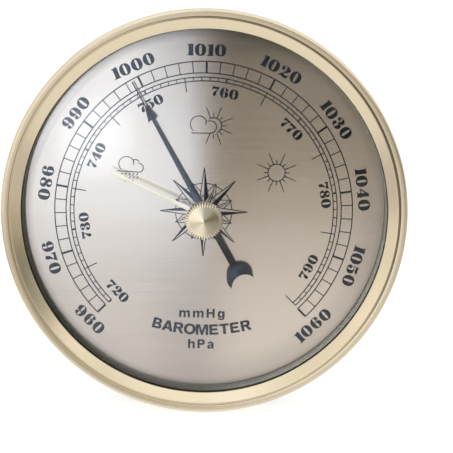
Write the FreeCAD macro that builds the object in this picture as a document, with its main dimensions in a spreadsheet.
# Wall aneroid barometer, 128 mm bezel, with a setting hand worked by a knob through the domed glass.
# Millimetres. +Z is up, +X is to the viewer's right, the dial faces -Y and the wall face is y = 0.
# The origin is the point where the pointer's axis meets the wall face.
# Every depth is counted from the wall face towards the viewer, so y = -depth.
import FreeCAD, Part
import math
import os

import Sketcher
from FreeCAD import Placement, Rotation, Vector

os.makedirs("parts", exist_ok=True)

doc = FreeCAD.newDocument("AneroidBarometer")

# ---------------------------------------------------------------- driving dimensions
# alias, value in mm (or degrees, or a count), note
DIMS = [
    # shared by many pieces
    ("overlap", 0.5, "how far a cutter or a fused piece runs past a face"),
    ("hole_runout", 0.3, "length of a blind hole past the end of its screw"),
    ("fixing_gap", 0.05, "clearance round a pin, rivet or screw"),
    ("bevel", 0.3, "small bevel on turned pieces"),
    # case
    ("case_back_radius", 54.0, "flat part of the back"),
    ("case_foot_radius", 56.0, "outer radius just above the back chamfer"),
    ("case_foot_depth", 2.0, "height of the back chamfer"),
    ("case_neck_radius", 60.0, "outer radius below the bezel seat"),
    ("case_seat_depth", 19.5, "rear end of the bezel seat"),
    ("case_seat_radius", 62.6, "outer radius of the bezel seat"),
    ("case_rim_depth", 27.6, "front end of the case"),
    ("case_rim_bore", 59.7, "bore that holds dial and spacer ring"),
    ("dial_back_depth", 24.0, "ledge on which the dial rests"),
    ("case_ledge_bore", 56.6, "bore below the ledge"),
    ("case_floor_bore", 53.6, "bore at the floor"),
    ("case_floor_depth", 2.5, "thickness of the back wall"),
    ("vent_width", 1.4), ("vent_length", 9.0), ("vent_low", -46.0), ("vent_pitch", 5.0),
    ("access_radius", 3.3, "hole over the adjusting screw"),
    # hanger
    ("hanger_half_width", 9.0), ("hanger_low", 34.5), ("hanger_high", 52.0),
    ("hanger_thick", 1.0), ("hanger_gap", 0.05, "clearance round the plate's edge"),
    ("keyhole_height", 42.0, "centre of the keyhole's round part"),
    ("keyhole_radius", 4.5), ("keyslot_half_width", 2.2),
    ("keyslot_high", 46.8, "centre of the slot's rounded end"),
    ("keypocket_half_width", 5.5, "room for a screw head behind the plate"),
    ("keypocket_low", 36.8), ("keypocket_high", 50.4), ("keypocket_depth", 6.6),
    ("keyboss_half_width", 9.5), ("keyboss_low", 35.6), ("keyboss_high", 51.8),
    ("keyboss_depth", 7.8),
    ("rivet_offset", 7.4), ("rivet_height", 43.0), ("rivet_head_radius", 1.6),
    ("rivet_head_thick", 0.5), ("rivet_radius", 0.9), ("rivet_length", 5.0),
    # movement fixing
    ("boss_radius", 4.0), ("boss_circle", 29.0),
    ("plate_back_depth", 4.0, "rear face of the base plate"),
    ("plate_thick", 1.5), ("plate_radius", 35.0),
    ("fixing_head_radius", 2.6), ("fixing_head_back", 0.3), ("fixing_head_front", 1.5),
    ("fixing_radius", 1.5), ("fixing_slot", 0.7, "width and depth of the screw slot"),
    ("fixing_head_slack", 0.2, "clearance round the head in its counterbore"),
    # bezel
    ("bezel_radius", 64.0, "outside radius of the turned ring"),
    ("bezel_skirt_bore", 62.75),
    ("bezel_skirt_depth", 20.2, "rear edge of the skirt"),
    ("bezel_web_depth", 27.65, "rear face of the web"),
    ("bezel_lens_bore", 59.5), ("bezel_lip_radius", 57.9), ("bezel_lip_back", 29.95),
    ("bezel_lip_front", 30.7), ("bezel_cone_radius", 60.6), ("bezel_cone_depth", 32.3),
    ("bezel_land_radius", 61.5), ("bezel_land_depth", 32.35), ("bezel_groove_inner", 61.65),
    ("bezel_groove_outer", 62.1), ("bezel_groove_depth", 31.5), ("bezel_crown_radius", 62.3),
    ("bezel_crown_depth", 32.2), ("bezel_round_depth", 30.3), ("bezel_round_radius", 2.1),
    ("grub_depth", 23.0), ("grub_radius", 0.75), ("grub_hole_radius", 0.8),
    ("grub_head_radius", 1.5), ("grub_head_hole", 1.55), ("grub_head_seat", 62.95),
    ("grub_head_front", 63.85), ("grub_end", 59.0),
    # lens stack
    ("lens_radius", 59.4), ("lens_foot_radius", 57.6), ("lens_foot_inner", 57.0),
    ("lens_back_depth", 28.3), ("lens_edge_front", 29.9), ("lens_apex_depth", 37.3),
    ("lens_thick", 1.6), ("lens_hole_radius", 3.0),
    ("gasket_inner", 57.95), ("spacer_front_depth", 27.9), ("spacer_inner", 57.9),
    ("ring_outer", 59.4),
    # dial
    ("dial_radius", 59.4), ("dial_front_depth", 25.0), ("dial_hole_radius", 2.2),
    ("dial_pin_circle", 58.1), ("dial_pin_radius", 0.7), ("dial_pin_back", 21.2),
    ("dial_pin_slack", 0.2, "length of the pin's hole past each end of the pin"),
    # setting hand
    ("bush_radius", 2.97), ("bush_flange_radius", 4.2), ("bush_front_depth", 38.1),
    ("bush_back_depth", 35.5), ("bush_bore", 1.55),
    ("spindle_radius", 1.5), ("spindle_back_depth", 33.3), ("spindle_front_depth", 43.0),
    ("knob_back_depth", 38.2), ("knob_neck_radius", 3.4), ("knob_neck_depth", 39.2),
    ("knob_radius", 5.5), ("knob_root_radius", 5.22), ("knob_grip_back", 40.3),
    ("knob_grip_front", 45.4), ("knob_shoulder_radius", 5.0), ("knob_shoulder_depth", 45.75),
    ("knob_apex_depth", 47.0), ("knob_teeth", 40),
    ("knurl_half_share", 0.065, "half width of a knurl cutter over the knob's radius"),
    ("knurl_rise", 0.2, "height of a knurl cutter above the grip"),
    ("washer_inner", 1.7), ("washer_outer", 3.3), ("washer_thick", 0.2),
    ("washer_high", 35.5), ("washer_low", 34.7),
    ("hand_hub_radius", 3.4), ("hand_hub_back", 34.1), ("hand_hub_front", 34.7),
    ("hand_length", 33.6), ("hand_root_half", 0.75), ("hand_waist_half", 0.42),
    ("hand_leaf_half", 0.8), ("hand_leaf_radius", 28.4), ("hand_waist_radius", 24.0),
    ("hand_root_share", 0.82, "start of the blade over the hub's radius"),
    ("hand_blade_inset", 0.1, "blade's rear face in front of the hub's"),
    ("hand_thick", 0.4),
    ("hand_slope", 4.0, "degrees the blade drops away from the glass"),
    ("hand_angle", -65.2, "rest angle, clockwise from the top"),
    ("nut_radius", 2.3), ("nut_back_depth", 33.45), ("nut_bevel", 0.2),
    # pointer
    ("pointer_angle", -29.8, "rest angle, clockwise from the top"),
    ("pointer_back_depth", 28.8), ("pointer_thick", 0.3), ("pointer_tip", 47.3),
    ("pointer_tip_half", 0.2), ("pointer_head_apex", 38.8), ("pointer_barb_radius", 33.6),
    ("pointer_barb_half", 1.6), ("pointer_notch_radius", 34.1), ("pointer_neck_half", 0.42),
    ("pointer_root_half", 1.0), ("pointer_hub_radius", 2.4), ("pointer_tail_half", 0.95),
    ("pointer_tail_end", 19.2),
    ("pointer_root_share", 0.8, "start of shaft and tail over the hub's radius"),
    ("moon_radius", 4.3), ("moon_centre", 22.8), ("moon_cut_radius", 4.35),
    ("moon_cut_centre", 26.45),
    ("collar_back_depth", 27.6), ("collar_radius", 2.0), ("collar_neck_radius", 1.2),
    ("collar_head_radius", 1.6), ("collar_front_depth", 29.6),
    ("arbor_radius", 0.8), ("arbor_back_depth", 19.0), ("arbor_front_depth", 29.5),
    ("pivot_radius", 0.5), ("pivot_hole", 0.55), ("pivot_back_depth", 18.1),
    # frame of the movement
    ("pillar_circle", 31.0), ("pillar_radius", 2.2), ("bridge_back_depth", 17.9),
    ("bridge_thick", 1.0), ("bridge_radius", 34.0),
    ("pillar_screw_radius", 1.0), ("pillar_screw_hole", 1.05), ("pillar_screw_head", 2.0),
    ("pillar_screw_thick", 0.9), ("pillar_screw_reach", 2.0), ("pillar_slot_deep", 0.4),
    ("pillar_slot_half", 0.25),
    ("cock_back_depth", 22.4, "rear face of the top plate"),
    ("cock_thick", 1.0), ("cock_left", -17.0), ("cock_right", 31.0), ("cock_low", -14.0),
    ("cock_high", 24.0),
    ("post_radius", 1.7), ("post_screw_radius", 0.75), ("post_screw_hole", 0.8),
    ("post_screw_head", 1.5), ("post_screw_thick", 0.5), ("post_screw_reach", 1.8),
    ("post_slot_deep", 0.25), ("post_slot_half", 0.2),
    ("slot_overcut", 0.2, "height of a slot cutter above the screw head"),
    # capsule
    ("capsule_x", -9.0),
    ("capsule_drop", 4.8, "height of the rocking shaft above the capsule's axis"),
    ("capsule_radius", 18.0), ("capsule_seam_depth", 10.7), ("capsule_skin", 0.3),
    ("capsule_rise", 2.3),
    ("base_stud_radius", 4.5), ("base_stud_thick", 1.0), ("base_shank_radius", 1.5),
    ("base_shank_length", 1.6),
    ("adjuster_radius", 3.0), ("adjuster_hole", 3.05), ("adjuster_back_depth", 3.0),
    ("adjuster_bore", 1.55), ("adjuster_slot_width", 0.9), ("adjuster_slot_deep", 0.8),
    ("top_stud_radius", 2.5), ("top_stud_thick", 0.6), ("top_post_radius", 0.9),
    ("top_post_depth", 15.45, "tip of the post, just under the lift arm"),
    ("top_post_shoulder", 0.35, "from the tip to the start of the tip's taper"),
    ("top_post_taper", 0.4, "loss of radius over the taper"),
    ("top_post_point", 0.08, "height of the flat cone at the tip"),
    # rocking shaft
    ("rocker_depth", 15.9), ("rocker_radius", 0.9), ("rocker_left", -11.9),
    ("rocker_right", 21.3), ("rocker_pivot_length", 1.15), ("rocker_bore", 0.91),
    ("collet_radius", 1.7), ("collet_cut_half", 2.5, "half length of the bore's cutter"),
    ("lift_length", 6.0), ("lift_half_width", 1.0), ("lift_half_thick", 0.4),
    ("lift_collet_half", 1.3),
    ("drive_half_width", 0.6), ("drive_half_thick", 0.5), ("drive_front_depth", 19.3),
    ("drive_collet_half", 1.1), ("drive_pin_radius", 0.35), ("drive_pin_front", 20.7),
    ("drive_pin_sink", 0.2, "overlap of pin and arm"),
    ("ear_thick", 1.2), ("ear_half", 2.4), ("ear_back_depth", 14.2), ("ear_gap", 0.1),
    ("window_half_x", 1.3), ("window_half_z", 2.4),
    # wheel work
    ("gear_module", 0.3), ("pinion_teeth", 10),
    ("sector_teeth", 150, "teeth of the full circle"),
    ("sector_half_count", 6, "teeth on each side of the middle"),
    ("sector_bearing", 202.0, "direction from the sector's arbor to the pointer's arbor"),
    ("sector_back_depth", 19.6), ("sector_thick", 0.8), ("sector_rim_inner", 19.6),
    ("sector_hub_radius", 2.6), ("sector_arm_half", 1.5),
    ("sector_arm_flare", 1.2, "width at the hub over width at the rim"),
    ("sector_arm_lap", 0.6, "length of the middle arm inside the rim"),
    ("sector_side_angle", 11.0, "degrees between middle and side arms"),
    ("sector_side_start", 1.0), ("sector_side_root_half", 0.9), ("sector_side_end_half", 0.8),
    ("sector_side_lap", 0.5, "length of a side arm inside the rim"),
    ("sector_tail_half", 1.3), ("sector_tail_length", 4.7),
    ("crank_length", 3.2, "pin's distance from the sector's axis"),
    ("slot_half", 0.42), ("slot_reach", 0.6),
    ("sector_arbor_radius", 1.0), ("sector_arbor_front", 22.3), ("sector_pivot_front", 23.3),
    ("sector_collar_radius", 2.0), ("sector_collar_front", 21.2),
    ("pinion_back_depth", 19.3), ("pinion_thick", 1.4),
    ("hair_collet_radius", 1.6), ("hair_collet_back", 20.9), ("hair_collet_front", 22.0),
    ("hair_back_depth", 21.2), ("hair_height", 0.5), ("hair_thick", 0.1),
    ("hair_inner", 1.66), ("hair_outer", 6.2), ("hair_turns", 5.5),
    ("hair_stud_angle", 150, "degrees from +X towards +Z"),
    ("hair_stud_radius", 0.6), ("hair_stud_front", 22.1),
]

sheet = doc.addObject("Spreadsheet::Sheet", "Dims")
for row, (alias, value, *note) in enumerate(DIMS, start=1):
    sheet.set("A%d" % row, alias)
    sheet.set("B%d" % row, str(value))
    sheet.setAlias("B%d" % row, alias)
    if note:
        sheet.set("C%d" % row, note[0])
doc.recompute()
VALUES = {entry[0]: float(entry[1]) for entry in DIMS}


class Size:
    """A number together with the sheet expression that gives it."""

    def __init__(self, value, text):
        self.value = float(value)
        self.text = text

    @staticmethod
    def of(other):
        return other if isinstance(other, Size) else Size(other, "(%s)" % repr(float(other)))

    def _pair(self, sign, other, value):
        return Size(value, "(%s %s %s)" % (self.text, sign, Size.of(other).text))

    def __add__(self, other):
        return self._pair("+", other, self.value + Size.of(other).value)

    def __sub__(self, other):
        return self._pair("-", other, self.value - Size.of(other).value)

    def __mul__(self, other):
        return self._pair("*", other, self.value * Size.of(other).value)

    def __truediv__(self, other):
        return self._pair("/", other, self.value / Size.of(other).value)

    def __neg__(self):
        return Size(-self.value, "(0 - %s)" % self.text)


class Sheet:
    """Gives every alias of the sheet as a Size attribute."""

    def __getattr__(self, alias):
        return Size(VALUES[alias], "Dims." + alias)


dim = Sheet()


# ---------------------------------------------------------------- primitives and booleans
# turns a primitive's local +Z to -Y, so that its height runs from the wall to the viewer
OUT = Rotation(Vector(1, 0, 0), 90)
TO_RIGHT = Rotation(Vector(0, 1, 0), 90)


def bind(obj, prop, size):
    """Set a length and bind it to the sheet."""
    setattr(obj, prop, size.value)
    obj.setExpression(prop, size.text)


def place(obj, x=0.0, depth=0.0, z=0.0, rotation=Rotation()):
    """Put obj at (x, -depth, z), with each Size among them bound to the sheet."""
    base = {"x": x, "y": -depth, "z": z}
    position = Vector(*[Size.of(size).value for size in base.values()])
    obj.Placement = Placement(position, rotation)
    for axis, size in base.items():
        if isinstance(size, Size):
            obj.setExpression("Placement.Base." + axis, size.text)
    return obj


def round_bar(length, radius, x, depth, z, rotation):
    obj = doc.addObject("Part::Cylinder", "RoundBar")
    bind(obj, "Radius", radius)
    bind(obj, "Height", length)
    return place(obj, x, depth, z, rotation)


def cylinder(x, z, depth0, depth1, radius):
    """Round bar along Y between two depths."""
    return round_bar(Size.of(depth1) - depth0, radius, x, depth0, z, OUT)


def cross_bar(x0, x1, z, depth, radius):
    """Round bar along X."""
    return round_bar(x1 - x0, radius, x0, depth, z, TO_RIGHT)


def radial_bar(angle, depth, radius0, radius1, bar_radius):
    """Round bar on a radius of the case, at an angle from +X in the XZ plane."""
    radians = math.radians(angle)
    turn = Rotation(Vector(0, 0, 1), Vector(math.cos(radians), 0, math.sin(radians)))
    x, z = on_circle(radius0, angle)
    return round_bar(radius1 - radius0, bar_radius, x, depth, z, turn)


def block(x0, x1, depth0, depth1, z0, z1):
    obj = doc.addObject("Part::Box", "Block")
    for prop, low, high in (("Length", x0, x1), ("Width", depth0, depth1), ("Height", z0, z1)):
        bind(obj, prop, Size.of(high) - low)
    return place(obj, x0, depth1, z0)


def fuse(*shapes):
    obj = doc.addObject("Part::MultiFuse", "Fuse")
    obj.Shapes = list(shapes)
    return obj


def cut(base, *tools):
    obj = doc.addObject("Part::Cut", "Cut")
    obj.Base = base
    obj.Tool = tools[0] if len(tools) == 1 else fuse(*tools)
    return obj


def group(shapes):
    """Identical pieces kept as separate solids in one object."""
    obj = doc.addObject("Part::Compound", "Group")
    obj.Links = list(shapes)
    return obj


def screw(x, z, head, shank, slot):
    """Slotted screw along Y.

    head and shank are (depth0, depth1, radius); slot is (depth0, depth1, half length, half width)."""
    slot0, slot1, half_length, half_width = slot
    body = fuse(cylinder(x, z, *head), cylinder(x, z, *shank))
    return cut(body, block(x - half_length, x + half_length, slot0, slot1,
                           z - half_width, z + half_width))


def front_screw(x, z, face, thick, head, reach_depth, radius, slot_deep, slot_half):
    """Screw put in from the front; its head stands on the face, its shank ends at reach_depth."""
    top = face + thick
    return screw(x, z, head=(face, top, head), shank=(reach_depth, face, radius),
                 slot=(top - slot_deep, top + dim.slot_overcut, head + dim.overlap, slot_half))


def drilled_post(x, z, depth0, depth1, radius, reach, hole):
    """Round post with a blind screw hole in its front end."""
    return cut(cylinder(x, z, depth0, depth1, radius),
               cylinder(x, z, depth1 - reach - dim.hole_runout, depth1 + dim.overlap, hole))


def on_circle(radius, degrees):
    """Point at an angle counted from +X towards +Z."""
    radians = math.radians(degrees)
    return radius * round(math.cos(radians), 9), radius * round(math.sin(radians), 9)


# ---------------------------------------------------------------- sketched bodies
def arc_between(start, end, radius, side):
    """Arc from start to end, bulging left of the run for side 1 and right of it for side -1."""
    run = end - start
    normal = Vector(-run.y, run.x, 0)
    normal.normalize()
    offset = math.sqrt(max(radius ** 2 - (run.Length / 2) ** 2, 0))
    centre = (start + end) * 0.5 - normal * (side * offset)
    angle0 = math.atan2(start.y - centre.y, start.x - centre.x)
    angle1 = math.atan2(end.y - centre.y, end.x - centre.x)
    if side > 0:
        angle0, angle1 = angle1, angle0
    return Part.ArcOfCircle(Part.Circle(centre, Vector(0, 0, 1), radius), angle0, angle1)


def flat_point(u, v):
    return Vector(Size.of(u).value, Size.of(v).value, 0)


def draw(body, plane, loops, name):
    """A sketch of closed loops on one of the body's own origin planes.

    A loop is ("circle", u, v, radius) or a list of corners (u, v) or (u, v, radius, side): the
    last form joins that corner to the next by an arc of the radius, bulging to the given side."""
    sketch = body.newObject("Sketcher::SketchObject", name)
    support = next(item for item in body.Origin.OriginFeatures if item.Role == plane)
    sketch.AttachmentSupport = [(support, "")]
    sketch.MapMode = "FlatFace"
    bound = []  # constraint index and the Size that drives it

    def constrain(kind, size, *where):
        constraint = Sketcher.Constraint(kind, *where, Size.of(size).value)
        index = sketch.addConstraint(constraint)
        if isinstance(size, Size):
            bound.append((index, size))

    def pin(geometry, point, u, v):
        """Dimension a point from the origin, or put it on the axis when its number is 0."""
        for kind, axis, size in (("DistanceX", -2, u), ("DistanceY", -1, v)):
            if not isinstance(size, Size) and size == 0:
                sketch.addConstraint(Sketcher.Constraint("PointOnObject", geometry, point, axis))
            else:
                constrain(kind, size, -1, 1, geometry, point)

    def add_circle(u, v, radius):
        circle = Part.Circle(flat_point(u, v), Vector(0, 0, 1), Size.of(radius).value)
        geometry = sketch.addGeometry(circle, False)
        pin(geometry, 3, u, v)
        constrain("Radius", radius, geometry)

    def add_polygon(corners):
        edges = []  # geometry index, its point at this corner, its point at the next one
        for corner, following in zip(corners, corners[1:] + corners[:1]):
            start, end = flat_point(*corner[:2]), flat_point(*following[:2])
            if len(corner) == 2:
                geometry = sketch.addGeometry(Part.LineSegment(start, end), False)
                edges.append((geometry, 1, 2))
                continue
            radius, side = corner[2:]
            arc = arc_between(start, end, Size.of(radius).value, side)
            geometry = sketch.addGeometry(arc, False)
            edges.append((geometry, 2, 1) if side > 0 else (geometry, 1, 2))
            constrain("Radius", radius, geometry)
        for (geometry, _, last), (neighbour, first, _) in zip(edges, edges[1:] + edges[:1]):
            sketch.addConstraint(
                Sketcher.Constraint("Coincident", geometry, last, neighbour, first))
        for (geometry, first, _), corner in zip(edges, corners):
            pin(geometry, first, *corner[:2])

    for loop in loops:
        if loop[0] == "circle":
            add_circle(*loop[1:])
        else:
            add_polygon(loop)
    for index, size in bound:
        sketch.setExpression("Constraints[%d]" % index, size.text)
    return sketch


def turned(name, corners, x=0.0, z=0.0):
    """A body of revolution about an axis parallel to Y. Corners are (radius, depth) and may
    carry an arc's radius and side, as in draw()."""
    body = doc.addObject("PartDesign::Body", name)
    loop = [(radius, -depth, *arc) for radius, depth, *arc in corners]
    sketch = draw(body, "XY_Plane", [loop], name + "_profile")
    spin = body.newObject("PartDesign::Revolution", name + "_turning")
    spin.Profile = sketch
    spin.ReferenceAxis = (sketch, ["V_Axis"])
    spin.Angle = 360
    body.Tip = spin
    return place(body, x, 0.0, z)


def ring(name, inner, outer, depth0, depth1):
    return turned(name, [(inner, depth0), (outer, depth0), (outer, depth1), (inner, depth1)])


def plate(name, depth0, thickness, loops, rotation=Rotation()):
    """Flat piece cut from sheet: loops are drawn as seen from the front, u = X and v = Z."""
    body = doc.addObject("PartDesign::Body", name)
    sketch = draw(body, "XZ_Plane", loops, name + "_outline")
    pad = body.newObject("PartDesign::Pad", name + "_sheet")
    pad.Profile = sketch
    bind(pad, "Length", thickness)
    body.Tip = pad
    return place(body, 0.0, depth0, 0.0, rotation)


# ---------------------------------------------------------------- derived places
plate_front = dim.plate_back_depth + dim.plate_thick
bridge_front = dim.bridge_back_depth + dim.bridge_thick
cock_front = dim.cock_back_depth + dim.cock_thick
pointer_front = dim.pointer_back_depth + dim.pointer_thick

# sector and pinion mesh at the sum of their pitch radii
gear_distance = dim.gear_module * (dim.sector_teeth + dim.pinion_teeth) / 2
sector_x, sector_z = on_circle(gear_distance, VALUES["sector_bearing"] - 180)
# the rocking shaft lies level with the sector's axis, and its drive pin enters the sector's slot
rocker_z = sector_z
drive_x = sector_x - dim.crank_length
capsule_z = rocker_z - dim.capsule_drop
capsule_rear = dim.capsule_seam_depth - dim.capsule_rise - dim.capsule_skin
capsule_front = dim.capsule_seam_depth + dim.capsule_rise + dim.capsule_skin
base_stud_back = capsule_rear - dim.base_stud_thick
base_shank_back = base_stud_back - dim.base_shank_length

# places in the XZ plane, (x, z)
SIDES = (-1, 1)
GRUB_ANGLES = (30, 150, 270)
boss_spots = [on_circle(dim.boss_circle, angle) for angle in (90, 210, 330)]
pillar_spots = [on_circle(dim.pillar_circle, angle) for angle in (30, 150, 270)]
rivet_spots = [(dim.rivet_offset * side, dim.rivet_height) for side in SIDES]
dial_pin_spots = [(dim.dial_pin_circle * side, 0.0) for side in SIDES]
post_spots = [(-13.0, -10.0), (14.0, 20.0), (27.0, -6.0)]


# ================================================================ case
def case_cup():
    shell = turned("CaseShell", [
        (0, 0), (dim.case_back_radius, 0), (dim.case_foot_radius, dim.case_foot_depth),
        (dim.case_neck_radius, dim.case_seat_depth), (dim.case_seat_radius, dim.case_seat_depth),
        (dim.case_seat_radius, dim.case_rim_depth), (dim.case_rim_bore, dim.case_rim_depth),
        (dim.case_rim_bore, dim.dial_back_depth), (dim.case_ledge_bore, dim.dial_back_depth),
        (dim.case_floor_bore, dim.case_floor_depth), (0, dim.case_floor_depth)])
    bosses = [cylinder(x, z, dim.case_floor_depth, dim.plate_back_depth, dim.boss_radius)
              for x, z in boss_spots]
    key_boss = block(-dim.keyboss_half_width, dim.keyboss_half_width,
                     dim.case_floor_depth - dim.overlap, dim.keyboss_depth,
                     dim.keyboss_low, dim.keyboss_high)
    past_floor = dim.case_floor_depth + dim.overlap
    holes = [
        # recess for the hanger plate, pocket behind the keyhole, hole over the adjusting screw
        block(-dim.hanger_half_width, dim.hanger_half_width, 0.0, dim.hanger_thick,
              dim.hanger_low, dim.hanger_high),
        block(-dim.keypocket_half_width, dim.keypocket_half_width, dim.hanger_thick / 2,
              dim.keypocket_depth, dim.keypocket_low, dim.keypocket_high),
        cylinder(dim.capsule_x, capsule_z, 0.0, past_floor, dim.access_radius),
    ]
    for x, z in rivet_spots:
        holes.append(cylinder(x, z, 0.0, dim.rivet_length, dim.rivet_radius + dim.fixing_gap))
    for x, z in dial_pin_spots:
        holes.append(cylinder(x, z, dim.dial_pin_back - dim.dial_pin_slack,
                              dim.dial_back_depth + dim.dial_pin_slack,
                              dim.dial_pin_radius + dim.fixing_gap))
    for x, z in boss_spots:
        holes.append(cylinder(x, z, 0.0, dim.fixing_head_front,
                              dim.fixing_head_radius + dim.fixing_head_slack))
        holes.append(cylinder(x, z, 0.0, dim.plate_back_depth + dim.overlap,
                              dim.fixing_radius + dim.fixing_gap))
    for step in (-2, -1, 0, 1, 2):
        middle = dim.vent_pitch * step
        holes.append(block(middle - dim.vent_width / 2, middle + dim.vent_width / 2,
                           0.0, past_floor, dim.vent_low, dim.vent_low + dim.vent_length))
    for angle in GRUB_ANGLES:
        holes.append(radial_bar(angle, dim.grub_depth, dim.grub_end - dim.hole_runout,
                                dim.case_seat_radius + dim.overlap, dim.grub_hole_radius))
    return cut(fuse(shell, key_boss, *bosses), *holes)


def hanger_plate():
    """Plate let into the back, with keyhole, slot and countersunk rivet holes."""
    blank = block(-dim.hanger_half_width + dim.hanger_gap, dim.hanger_half_width - dim.hanger_gap,
                  0.0, dim.hanger_thick, dim.hanger_low + dim.hanger_gap,
                  dim.hanger_high - dim.hanger_gap)
    holes = [
        cylinder(0.0, dim.keyhole_height, 0.0, dim.hanger_thick, dim.keyhole_radius),
        cylinder(0.0, dim.keyslot_high, 0.0, dim.hanger_thick, dim.keyslot_half_width),
        block(-dim.keyslot_half_width, dim.keyslot_half_width, 0.0, dim.hanger_thick,
              dim.keyhole_height, dim.keyslot_high),
    ]
    for x, z in rivet_spots:
        holes.append(cylinder(x, z, 0.0, dim.hanger_thick, dim.rivet_radius + dim.fixing_gap))
        holes.append(cylinder(x, z, 0.0, dim.rivet_head_thick,
                              dim.rivet_head_radius + dim.fixing_gap))
    return cut(blank, *holes)


def hanger_rivets():
    return group(
        fuse(cylinder(x, z, 0.0, dim.rivet_head_thick, dim.rivet_head_radius),
             cylinder(x, z, dim.rivet_head_thick, dim.rivet_length, dim.rivet_radius))
        for x, z in rivet_spots)


def bezel():
    """Lip over the glass, conical band, land, groove, rounded outer band and skirt."""
    blank = turned("BezelRing", [
        (dim.bezel_lip_radius, dim.bezel_lip_back), (dim.bezel_lip_radius, dim.bezel_lip_front),
        (dim.bezel_cone_radius, dim.bezel_cone_depth),
        (dim.bezel_land_radius, dim.bezel_land_depth),
        (dim.bezel_groove_inner, dim.bezel_groove_depth),
        (dim.bezel_groove_outer, dim.bezel_groove_depth),
        (dim.bezel_crown_radius, dim.bezel_crown_depth, dim.bezel_round_radius, -1),
        (dim.bezel_radius, dim.bezel_round_depth), (dim.bezel_radius, dim.bezel_skirt_depth),
        (dim.bezel_skirt_bore, dim.bezel_skirt_depth),
        (dim.bezel_skirt_bore, dim.bezel_web_depth), (dim.bezel_lens_bore, dim.bezel_web_depth),
        (dim.bezel_lens_bore, dim.bezel_lip_back)])
    outside = dim.bezel_radius + dim.overlap
    holes = []
    for angle in GRUB_ANGLES:
        holes.append(radial_bar(angle, dim.grub_depth, dim.bezel_skirt_bore - dim.overlap,
                                outside, dim.grub_hole_radius))
        holes.append(radial_bar(angle, dim.grub_depth, dim.grub_head_seat, outside,
                                dim.grub_head_hole))
    return cut(blank, *holes)


def bezel_screws():
    return group(
        fuse(radial_bar(angle, dim.grub_depth, dim.grub_end, dim.grub_head_seat, dim.grub_radius),
             radial_bar(angle, dim.grub_depth, dim.grub_head_seat, dim.grub_head_front,
                        dim.grub_head_radius))
        for angle in GRUB_ANGLES)


# ================================================================ glass, rings and dial
def dome_sphere(foot_radius, rise):
    """Radius of the sphere whose cap has this foot radius and rise."""
    return (foot_radius ** 2 + rise ** 2) / (2 * rise)


def dome_drop(sphere, radius):
    """How far a sphere has fallen from its apex at a radius."""
    return sphere - math.sqrt(sphere ** 2 - radius ** 2)


def lens():
    inner_apex = dim.lens_apex_depth - dim.lens_thick
    outer_rise = dim.lens_apex_depth - dim.lens_edge_front
    inner_rise = inner_apex - dim.lens_back_depth
    outer_sphere = dome_sphere(dim.lens_foot_radius.value, outer_rise.value)
    inner_sphere = dome_sphere(dim.lens_foot_inner.value, inner_rise.value)
    hole = dim.lens_hole_radius
    return turned("Lens", [
        (hole, inner_apex - dome_drop(inner_sphere, hole.value)),
        (hole, dim.lens_apex_depth - dome_drop(outer_sphere, hole.value), outer_sphere, -1),
        (dim.lens_foot_radius, dim.lens_edge_front), (dim.lens_radius, dim.lens_edge_front),
        (dim.lens_radius, dim.lens_back_depth),
        (dim.lens_foot_inner, dim.lens_back_depth, inner_sphere, 1)])


def lens_gasket():
    return ring("Gasket", dim.gasket_inner, dim.ring_outer,
                dim.spacer_front_depth, dim.lens_back_depth)


def spacer_ring():
    return ring("SpacerRing", dim.spacer_inner, dim.ring_outer,
                dim.dial_front_depth, dim.spacer_front_depth)


def dial():
    return plate("Dial", dim.dial_back_depth, dim.dial_front_depth - dim.dial_back_depth,
                 [("circle", 0, 0, dim.dial_radius), ("circle", 0, 0, dim.dial_hole_radius)])


def dial_pins():
    return group(cylinder(x, z, dim.dial_pin_back, dim.dial_back_depth, dim.dial_pin_radius)
                 for x, z in dial_pin_spots)


# ================================================================ setting hand and its knob
def setting_bush():
    return turned("SettingBush", [
        (dim.bush_bore, dim.bush_back_depth), (dim.bush_radius, dim.bush_back_depth),
        (dim.bush_radius, dim.lens_apex_depth), (dim.bush_flange_radius, dim.lens_apex_depth),
        (dim.bush_flange_radius - dim.bevel, dim.bush_front_depth),
        (dim.bush_bore, dim.bush_front_depth)])


def setting_arbor():
    return ring("SettingArbor", 0, dim.spindle_radius,
                dim.spindle_back_depth, dim.spindle_front_depth)


def knurl_cutter():
    """V bars along the grip: one sketch patterned round the axis."""
    body = doc.addObject("PartDesign::Body", "KnurlGroove")
    half_width = dim.knob_radius * dim.knurl_half_share
    top = dim.knob_radius + dim.knurl_rise
    outline = [(-half_width, top), (0, dim.knob_root_radius), (half_width, top)]
    sketch = draw(body, "XZ_Plane", [outline], "KnurlGroove_outline")
    pad = body.newObject("PartDesign::Pad", "KnurlGroove_run")
    pad.Profile = sketch
    bind(pad, "Length", dim.knob_shoulder_depth - dim.knob_grip_back + dim.overlap * 2)
    doc.recompute()  # the pattern needs the pad's shape
    pattern = body.newObject("PartDesign::PolarPattern", "KnurlGroove_ring")
    pattern.Originals = [pad]
    pattern.Axis = (sketch, ["N_Axis"])
    pattern.Angle = 360
    pattern.Occurrences = int(VALUES["knob_teeth"])
    pattern.setExpression("Occurrences", dim.knob_teeth.text)
    body.AllowCompound = True  # the bars don't touch each other
    body.Tip = pattern
    return place(body, 0.0, dim.knob_grip_back - dim.overlap, 0.0)


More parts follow.
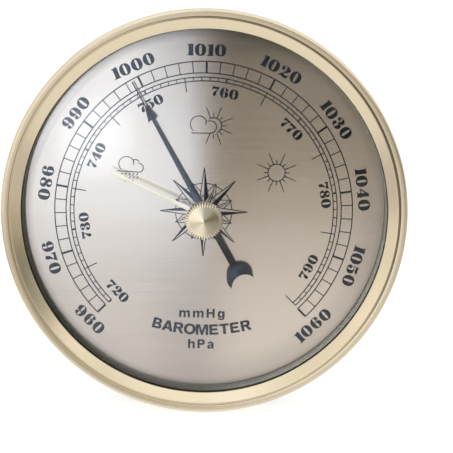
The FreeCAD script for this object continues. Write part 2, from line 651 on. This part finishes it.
def setting_knob():
    blank = turned("KnobBlank", [
        (dim.spindle_radius, dim.knob_back_depth), (dim.knob_neck_radius, dim.knob_back_depth),
        (dim.knob_neck_radius, dim.knob_neck_depth),
        (dim.knob_radius - dim.bevel, dim.knob_grip_back - dim.bevel),
        (dim.knob_radius, dim.knob_grip_back), (dim.knob_radius, dim.knob_grip_front),
        (dim.knob_shoulder_radius, dim.knob_shoulder_depth), (0, dim.knob_apex_depth),
        (0, dim.spindle_front_depth), (dim.spindle_radius, dim.spindle_front_depth)])
    return cut(blank, knurl_cutter())


def wave_washer():
    return turned("WaveWasher", [
        (dim.washer_inner, dim.washer_high - dim.washer_thick), (dim.washer_outer, dim.washer_low),
        (dim.washer_outer, dim.washer_low + dim.washer_thick),
        (dim.washer_inner, dim.washer_high)])


def setting_hand():
    hub = ring("HandHub", dim.spindle_radius, dim.hand_hub_radius,
               dim.hand_hub_back, dim.hand_hub_front)
    root = dim.hand_hub_radius * dim.hand_root_share
    outline = [
        (-dim.hand_root_half, root), (-dim.hand_waist_half, dim.hand_waist_radius),
        (-dim.hand_leaf_half, dim.hand_leaf_radius), (0, dim.hand_length),
        (dim.hand_leaf_half, dim.hand_leaf_radius), (dim.hand_waist_half, dim.hand_waist_radius),
        (dim.hand_root_half, root)]
    # the blade drops towards the dial so that it follows the dome, then turns to the set angle
    slope = Rotation(Vector(1, 0, 0), -VALUES["hand_slope"])
    turn = Rotation(Vector(0, 1, 0), VALUES["hand_angle"])
    blade = plate("HandBlade", dim.hand_hub_back + dim.hand_blade_inset, dim.hand_thick,
                  [outline], turn.multiply(slope))
    return fuse(hub, blade)


def setting_nut():
    return turned("SettingNut", [
        (dim.spindle_radius, dim.nut_back_depth),
        (dim.nut_radius - dim.nut_bevel, dim.nut_back_depth),
        (dim.nut_radius, dim.nut_back_depth + dim.nut_bevel),
        (dim.nut_radius, dim.hand_hub_back), (dim.spindle_radius, dim.hand_hub_back)])


# ================================================================ pointer
def pointer():
    """Needle with a barbed head and a crescent on its tail, drawn upright and then turned."""
    root = dim.pointer_hub_radius * dim.pointer_root_share
    # half width, height: right-hand edge from the tip down to the end of the tail
    right_edge = [
        (dim.pointer_tip_half, dim.pointer_tip), (dim.pointer_tip_half, dim.pointer_head_apex),
        (dim.pointer_barb_half, dim.pointer_barb_radius),
        (dim.pointer_neck_half, dim.pointer_notch_radius), (dim.pointer_root_half, root),
        (dim.pointer_tail_half, -root), (dim.pointer_tail_half, -dim.pointer_tail_end)]
    left_edge = [(-half, height) for half, height in right_edge[::-1]]
    # the outline starts at the tip's left corner
    outline = left_edge[-1:] + right_edge + left_edge[:-1]
    needle = plate("PointerNeedle", 0.0, dim.pointer_thick, [outline])
    past_front = dim.pointer_thick + dim.overlap
    moon = cut(
        cylinder(0.0, -dim.moon_centre, 0.0, dim.pointer_thick, dim.moon_radius),
        cylinder(0.0, -dim.moon_cut_centre, -dim.overlap, past_front, dim.moon_cut_radius))
    hub = cylinder(0.0, 0.0, 0.0, dim.pointer_thick, dim.pointer_hub_radius)
    bore = cylinder(0.0, 0.0, -dim.overlap, past_front, dim.collar_neck_radius)
    return place(cut(fuse(needle, moon, hub), bore), 0.0, dim.pointer_back_depth, 0.0,
                 Rotation(Vector(0, 1, 0), VALUES["pointer_angle"]))


def pointer_bush():
    return turned("PointerBush", [
        (dim.arbor_radius, dim.collar_back_depth), (dim.collar_radius, dim.collar_back_depth),
        (dim.collar_radius, dim.pointer_back_depth),
        (dim.collar_neck_radius, dim.pointer_back_depth), (dim.collar_neck_radius, pointer_front),
        (dim.collar_head_radius, pointer_front),
        (dim.collar_head_radius - dim.bevel, dim.collar_front_depth),
        (dim.arbor_radius, dim.collar_front_depth)])


def pointer_arbor():
    return turned("PointerArbor", [
        (0, dim.pivot_back_depth), (dim.pivot_radius, dim.pivot_back_depth),
        (dim.pivot_radius, dim.arbor_back_depth), (dim.arbor_radius, dim.arbor_back_depth),
        (dim.arbor_radius, dim.arbor_front_depth), (0, dim.arbor_front_depth)])


# ================================================================ frame of the movement
def base_plate():
    return plate("BasePlate", dim.plate_back_depth, dim.plate_thick, [
        ("circle", 0, 0, dim.plate_radius),
        ("circle", dim.capsule_x, capsule_z, dim.adjuster_hole)] + [
        ("circle", x, z, dim.fixing_radius + dim.fixing_gap) for x, z in boss_spots])


def movement_screws():
    """Screws put in from the back of the case, with their slots towards the wall."""
    back = dim.fixing_head_back
    return group(
        screw(x, z, head=(back, dim.fixing_head_front, dim.fixing_head_radius),
              shank=(dim.fixing_head_front, plate_front, dim.fixing_radius),
              slot=(back, back + dim.fixing_slot, dim.fixing_head_radius, dim.fixing_slot / 2))
        for x, z in boss_spots)


def movement_pillars():
    return group(
        drilled_post(x, z, plate_front, dim.bridge_back_depth, dim.pillar_radius,
                     dim.pillar_screw_reach, dim.pillar_screw_hole)
        for x, z in pillar_spots)


def bridge_plate():
    """Round plate with both rear pivot holes and a window for the drive arm."""
    left, right = drive_x - dim.window_half_x, drive_x + dim.window_half_x
    low, high = rocker_z - dim.window_half_z, rocker_z + dim.window_half_z
    window = [(left, low), (right, low), (right, high), (left, high)]
    return plate("BridgePlate", dim.bridge_back_depth, dim.bridge_thick, [
        ("circle", 0, 0, dim.bridge_radius), ("circle", 0, 0, dim.pivot_hole),
        ("circle", sector_x, sector_z, dim.pivot_hole), window] + [
        ("circle", x, z, dim.pillar_screw_hole) for x, z in pillar_spots])


def pillar_screws():
    return group(
        front_screw(x, z, face=bridge_front, thick=dim.pillar_screw_thick,
                    head=dim.pillar_screw_head,
                    reach_depth=dim.bridge_back_depth - dim.pillar_screw_reach,
                    radius=dim.pillar_screw_radius, slot_deep=dim.pillar_slot_deep,
                    slot_half=dim.pillar_slot_half)
        for x, z in pillar_spots)


def top_plate_posts():
    return group(
        drilled_post(x, z, bridge_front, dim.cock_back_depth, dim.post_radius,
                     dim.post_screw_reach, dim.post_screw_hole)
        for x, z in post_spots)


def top_plate():
    outline = [(dim.cock_left, dim.cock_low), (dim.cock_right, dim.cock_low),
               (dim.cock_right, dim.cock_high), (dim.cock_left, dim.cock_high)]
    return plate("TopPlate", dim.cock_back_depth, dim.cock_thick, [
        outline, ("circle", 0, 0, dim.arbor_radius + dim.fixing_gap),
        ("circle", sector_x, sector_z, dim.pivot_hole)] + [
        ("circle", x, z, dim.post_screw_hole) for x, z in post_spots])


def top_plate_screws():
    # Size.of lets a plain place be combined with sizes
    return group(
        front_screw(Size.of(x), Size.of(z), face=cock_front, thick=dim.post_screw_thick,
                    head=dim.post_screw_head,
                    reach_depth=dim.cock_back_depth - dim.post_screw_reach,
                    radius=dim.post_screw_radius, slot_deep=dim.post_slot_deep,
                    slot_half=dim.post_slot_half)
        for x, z in post_spots)


# ================================================================ capsule
# corrugation of a diaphragm: share of the capsule's radius, share of its rise
WAVES = [(0.0, 1.0), (0.26, 1.0), (0.35, 0.78), (0.45, 0.97), (0.55, 0.74), (0.65, 0.93),
         (0.75, 0.68), (0.86, 0.84), (0.93, 0.0), (1.0, 0.0)]


def diaphragm(name, sign):
    """One corrugated half of the capsule; sign is +1 for the front half."""
    inner_face, outer_face = [], []
    for share, rise in WAVES:
        radius = dim.capsule_radius * share if share else 0
        depth = dim.capsule_seam_depth + dim.capsule_rise * (rise * sign)
        inner_face.append((radius, depth))
        outer_face.append((radius, depth + dim.capsule_skin * sign))
    return turned(name, inner_face + outer_face[::-1], dim.capsule_x, capsule_z)


def capsule_lower():
    return diaphragm("CapsuleLower", -1)


def capsule_upper():
    return diaphragm("CapsuleUpper", 1)


def capsule_base_stud():
    return turned("CapsuleBaseStud", [
        (0, base_shank_back), (dim.base_shank_radius, base_shank_back),
        (dim.base_shank_radius, base_stud_back), (dim.base_stud_radius, base_stud_back),
        (dim.base_stud_radius, capsule_rear), (0, capsule_rear)], dim.capsule_x, capsule_z)


def adjusting_screw():
    """Screw in the base plate that takes the stud's shank, slotted towards the wall."""
    back = dim.adjuster_back_depth
    bore_end = base_shank_back - dim.hole_runout
    blank = turned("AdjusterBlank", [
        (0, back), (dim.adjuster_radius - dim.bevel, back),
        (dim.adjuster_radius, back + dim.bevel), (dim.adjuster_radius, base_stud_back),
        (dim.adjuster_bore, base_stud_back), (dim.adjuster_bore, bore_end), (0, bore_end)],
        dim.capsule_x, capsule_z)
    half_length = dim.adjuster_radius + dim.overlap
    half_width = dim.adjuster_slot_width / 2
    return cut(blank, block(
        dim.capsule_x - half_length, dim.capsule_x + half_length,
        back - dim.overlap, back + dim.adjuster_slot_deep,
        capsule_z - half_width, capsule_z + half_width))


def capsule_top_stud():
    stud_front = capsule_front + dim.top_stud_thick
    return turned("CapsuleTopStud", [
        (0, capsule_front), (dim.top_stud_radius, capsule_front),
        (dim.top_stud_radius, stud_front), (dim.top_post_radius, stud_front),
        (dim.top_post_radius, dim.top_post_depth - dim.top_post_shoulder),
        (dim.top_post_radius - dim.top_post_taper, dim.top_post_depth - dim.top_post_point),
        (0, dim.top_post_depth)], dim.capsule_x, capsule_z)


# ================================================================ rocking shaft
def shaft_bar(x0, x1, radius):
    """Round bar on the rocking shaft's axis."""
    return cross_bar(x0, x1, rocker_z, dim.rocker_depth, radius)


def collet(x, half_length):
    return shaft_bar(x - half_length, x + half_length, dim.collet_radius)


def collet_bore(x):
    return shaft_bar(x - dim.collet_cut_half, x + dim.collet_cut_half, dim.rocker_bore)


def rocking_shaft():
    return fuse(
        shaft_bar(dim.rocker_left, dim.rocker_right, dim.rocker_radius),
        shaft_bar(dim.rocker_left - dim.rocker_pivot_length,
                  dim.rocker_right + dim.rocker_pivot_length, dim.pivot_radius))


def lift_arm():
    """Arm that hangs from the shaft in front of the capsule's post."""
    x = dim.capsule_x
    arm = block(x - dim.lift_half_width, x + dim.lift_half_width,
                dim.rocker_depth - dim.lift_half_thick, dim.rocker_depth + dim.lift_half_thick,
                rocker_z - dim.lift_length, rocker_z)
    return cut(fuse(collet(x, dim.lift_collet_half), arm), collet_bore(x))


def drive_arm():
    """Arm that stands forward from the shaft, with a pin for the sector's slot."""
    arm = block(drive_x - dim.drive_half_thick, drive_x + dim.drive_half_thick,
                dim.rocker_depth, dim.drive_front_depth,
                rocker_z - dim.drive_half_width, rocker_z + dim.drive_half_width)
    pin = cylinder(drive_x, rocker_z, dim.drive_front_depth - dim.drive_pin_sink,
                   dim.drive_pin_front, dim.drive_pin_radius)
    return cut(fuse(collet(drive_x, dim.drive_collet_half), arm, pin), collet_bore(drive_x))


def rocker_brackets():
    """Two ears under the bridge plate that carry the shaft's pivots."""
    left_end = dim.rocker_left - dim.ear_gap
    right_start = dim.rocker_right + dim.ear_gap
    return group(
        cut(block(x0, x1, dim.ear_back_depth, dim.bridge_back_depth,
                  rocker_z - dim.ear_half, rocker_z + dim.ear_half),
            shaft_bar(x0 - dim.overlap, x1 + dim.overlap, dim.pivot_hole))
        for x0, x1 in ((left_end - dim.ear_thick, left_end),
                       (right_start, right_start + dim.ear_thick)))


# ================================================================ wheel work
FORWARD = Vector(0, -1, 0)
PRESSURE_ANGLE = math.radians(20)
FLANK_STEPS = 4
RIM_STEPS = 12
SPRING_STEPS_PER_TURN = 20


def involute_teeth(teeth, clearance, addendum, dedendum, phase, first, last):
    """Polar corners of involute teeth first..last, counter-clockwise seen from the front, and
    the root radius. Addendum and dedendum are in modules, clearance in mm, phase in radians."""
    module = VALUES["gear_module"]
    pitch = module * teeth / 2
    base = pitch * math.cos(PRESSURE_ANGLE)
    tip = pitch + addendum * module
    root = pitch - dedendum * module
    # half the tooth's angle on the pitch circle
    half = math.pi / (2 * teeth) - clearance / (2 * pitch)
    pitch_involute = math.tan(PRESSURE_ANGLE) - PRESSURE_ANGLE
    flank_start = max(base, root)
    flank = []
    for k in range(FLANK_STEPS + 1):
        radius = flank_start + (tip - flank_start) * k / FLANK_STEPS
        angle = math.acos(min(1.0, base / radius))
        flank.append((radius, half + pitch_involute - (math.tan(angle) - angle)))
    if root < base:
        flank.insert(0, (root, flank[0][1]))
    corners = []
    for tooth in range(first, last + 1):
        middle = phase + 2 * math.pi * tooth / teeth
        corners += [(radius, middle - width) for radius, width in flank]
        corners += [(radius, middle + width) for radius, width in flank[::-1]]
    return corners, root


def prism(points, thickness):
    """Straight solid from an outline in an XZ plane, towards the viewer."""
    face = Part.Face(Part.makePolygon(points + [points[0]]))
    return face.extrude(FORWARD * thickness)


def polar_prism(corners, centre, thickness):
    return prism([centre + Vector(radius * math.cos(angle), 0, radius * math.sin(angle))
                  for radius, angle in corners], thickness)


def radial_arm(centre, angle, length0, length1, half0, half1, thickness):
    """Tapered flat arm on a radius from the centre."""
    along = Vector(math.cos(angle), 0, math.sin(angle))
    across = Vector(-math.sin(angle), 0, math.cos(angle))
    return prism([
        centre + along * length0 - across * half0, centre + along * length1 - across * half1,
        centre + along * length1 + across * half1, centre + along * length0 + across * half0],
        thickness)


def through_bore(centre, radius, thickness):
    overlap = VALUES["overlap"]
    return Part.makeCylinder(radius, thickness + 2 * overlap, centre + Vector(0, overlap, 0),
                             FORWARD)


def feature(name, shape):
    obj = doc.addObject("Part::Feature", name)
    obj.Shape = shape
    return obj


def sector_gear():
    """Toothed rim on three arms, with a slotted tail towards -X for the drive pin."""
    thick = VALUES["sector_thick"]
    centre = Vector(sector_x.value, -VALUES["sector_back_depth"], sector_z.value)
    bearing = math.radians(VALUES["sector_bearing"])
    teeth = int(VALUES["sector_teeth"])
    half_count = int(VALUES["sector_half_count"])
    rim_inner = VALUES["sector_rim_inner"]
    corners, root = involute_teeth(teeth, clearance=0.05, addendum=0.75, dedendum=1.25,
                                   phase=bearing, first=-half_count, last=half_count)
    half_span = (2 * half_count + 1) * math.pi / teeth
    start, stop = bearing - half_span, bearing + half_span
    outline = [(root, start)] + corners + [(root, stop)]
    outline += [(rim_inner, stop + (start - stop) * k / RIM_STEPS) for k in range(RIM_STEPS + 1)]
    rim = polar_prism(outline, centre, thick)
    hub = Part.makeCylinder(VALUES["sector_hub_radius"], thick, centre, FORWARD)
    arm_half = VALUES["sector_arm_half"]
    arms = [radial_arm(centre, bearing, 0.0, rim_inner + VALUES["sector_arm_lap"],
                       arm_half * VALUES["sector_arm_flare"], arm_half, thick)]
    side_angle = math.radians(VALUES["sector_side_angle"])
    for angle in (bearing + side_angle, bearing - side_angle):
        arms.append(radial_arm(centre, angle, VALUES["sector_side_start"],
                               rim_inner + VALUES["sector_side_lap"],
                               VALUES["sector_side_root_half"], VALUES["sector_side_end_half"],
                               thick))
    tail_half = VALUES["sector_tail_half"]
    tail = radial_arm(centre, math.pi, 0.0, VALUES["sector_tail_length"], tail_half, tail_half,
                      thick)
    wheel = rim.fuse([hub] + arms + [tail]).removeSplitter()

    slot_half, overlap = VALUES["slot_half"], VALUES["overlap"]
    slot_end = VALUES["slot_reach"] + slot_half
    corner = centre - Vector(VALUES["crank_length"] + slot_end, thick + overlap, slot_half)
    slot = Part.makeBox(slot_end * 2, thick + 2 * overlap, slot_half * 2, corner)
    bore = through_bore(centre, VALUES["sector_arbor_radius"], thick)
    return feature("SectorGear", wheel.cut(slot).cut(bore))


def pinion():
    """A gap faces the sector's middle tooth, and the leaves are thin for free running."""
    leaves = int(VALUES["pinion_teeth"])
    thick = VALUES["pinion_thick"]
    centre = Vector(0, -VALUES["pinion_back_depth"], 0)
    phase = math.radians(VALUES["sector_bearing"]) + math.pi + math.pi / leaves
    corners, _ = involute_teeth(leaves, clearance=0.12, addendum=0.85, dedendum=1.3,
                                phase=phase, first=0, last=leaves - 1)
    blank = polar_prism(corners, centre, thick)
    return feature("Pinion", blank.cut(through_bore(centre, VALUES["arbor_radius"], thick)))


def sector_arbor():
    wheel_front = dim.sector_back_depth + dim.sector_thick
    return turned("SectorArbor", [
        (0, dim.pivot_back_depth), (dim.pivot_radius, dim.pivot_back_depth),
        (dim.pivot_radius, dim.arbor_back_depth),
        (dim.sector_arbor_radius, dim.arbor_back_depth), (dim.sector_arbor_radius, wheel_front),
        (dim.sector_collar_radius, wheel_front),
        (dim.sector_collar_radius, dim.sector_collar_front),
        (dim.sector_arbor_radius, dim.sector_collar_front),
        (dim.sector_arbor_radius, dim.sector_arbor_front),
        (dim.pivot_radius, dim.sector_arbor_front), (dim.pivot_radius, dim.sector_pivot_front),
        (0, dim.sector_pivot_front)], sector_x, sector_z)


def hairspring_collet():
    return ring("HairspringCollet", dim.arbor_radius, dim.hair_collet_radius,
                dim.hair_collet_back, dim.hair_collet_front)


def hairspring():
    """Flat spiral spring from the collet to its stud."""
    turns, strip = VALUES["hair_turns"], VALUES["hair_thick"]
    inner, outer = VALUES["hair_inner"], VALUES["hair_outer"]
    stud_angle = math.radians(VALUES["hair_stud_angle"])
    steps = int(turns * SPRING_STEPS_PER_TURN)
    inside, outside = [], []
    for k in range(steps + 1):
        share = k / steps
        angle = stud_angle - 2 * math.pi * turns * (1 - share)
        radius = inner + (outer - inner) * share
        inside.append((radius - strip / 2, angle))
        outside.append((radius + strip / 2, angle))
    centre = Vector(0, -VALUES["hair_back_depth"], 0)
    return feature("Hairspring",
                   polar_prism(inside + outside[::-1], centre, VALUES["hair_height"]))


def hairspring_stud():
    distance = dim.hair_outer + dim.hair_stud_radius + dim.hair_thick / 2
    x, z = on_circle(distance, VALUES["hair_stud_angle"])
    return cylinder(x, z, bridge_front, dim.hair_stud_front, dim.hair_stud_radius)


# ---------------------------------------------------------------- build, check and write
# each piece takes its label and its file name from its function
PIECES = (
    case_cup, hanger_plate, hanger_rivets, bezel, bezel_screws,
    lens, lens_gasket, spacer_ring, dial, dial_pins,
    setting_bush, setting_arbor, setting_knob, wave_washer, setting_hand, setting_nut,
    pointer, pointer_bush, pointer_arbor,
    base_plate, movement_screws, movement_pillars, bridge_plate, pillar_screws,
    top_plate_posts, top_plate, top_plate_screws,
    capsule_lower, capsule_upper, capsule_base_stud, adjusting_screw, capsule_top_stud,
    rocking_shaft, lift_arm, drive_arm, rocker_brackets,
    sector_gear, pinion, sector_arbor, hairspring_collet, hairspring, hairspring_stud,
)
nodes = {}
for piece in PIECES:
    node = piece()
    node.Label = piece.__name__
    nodes[piece.__name__] = node

doc.recompute()
failed = [obj.Name for obj in doc.Objects if "Invalid" in obj.State or "Error" in obj.State]
if failed:
    raise RuntimeError("failed objects: " + ", ".join(failed))
for label, node in nodes.items():
    shape = node.Shape
    if shape.isNull() or not shape.isValid() or not shape.Solids:
        raise RuntimeError("bad shape: " + label)

for name in os.listdir("parts"):
    if name.endswith(".step"):
        os.remove(os.path.join("parts", name))
for label, node in nodes.items():
    node.Shape.exportStep(os.path.join("parts", label + ".step"))
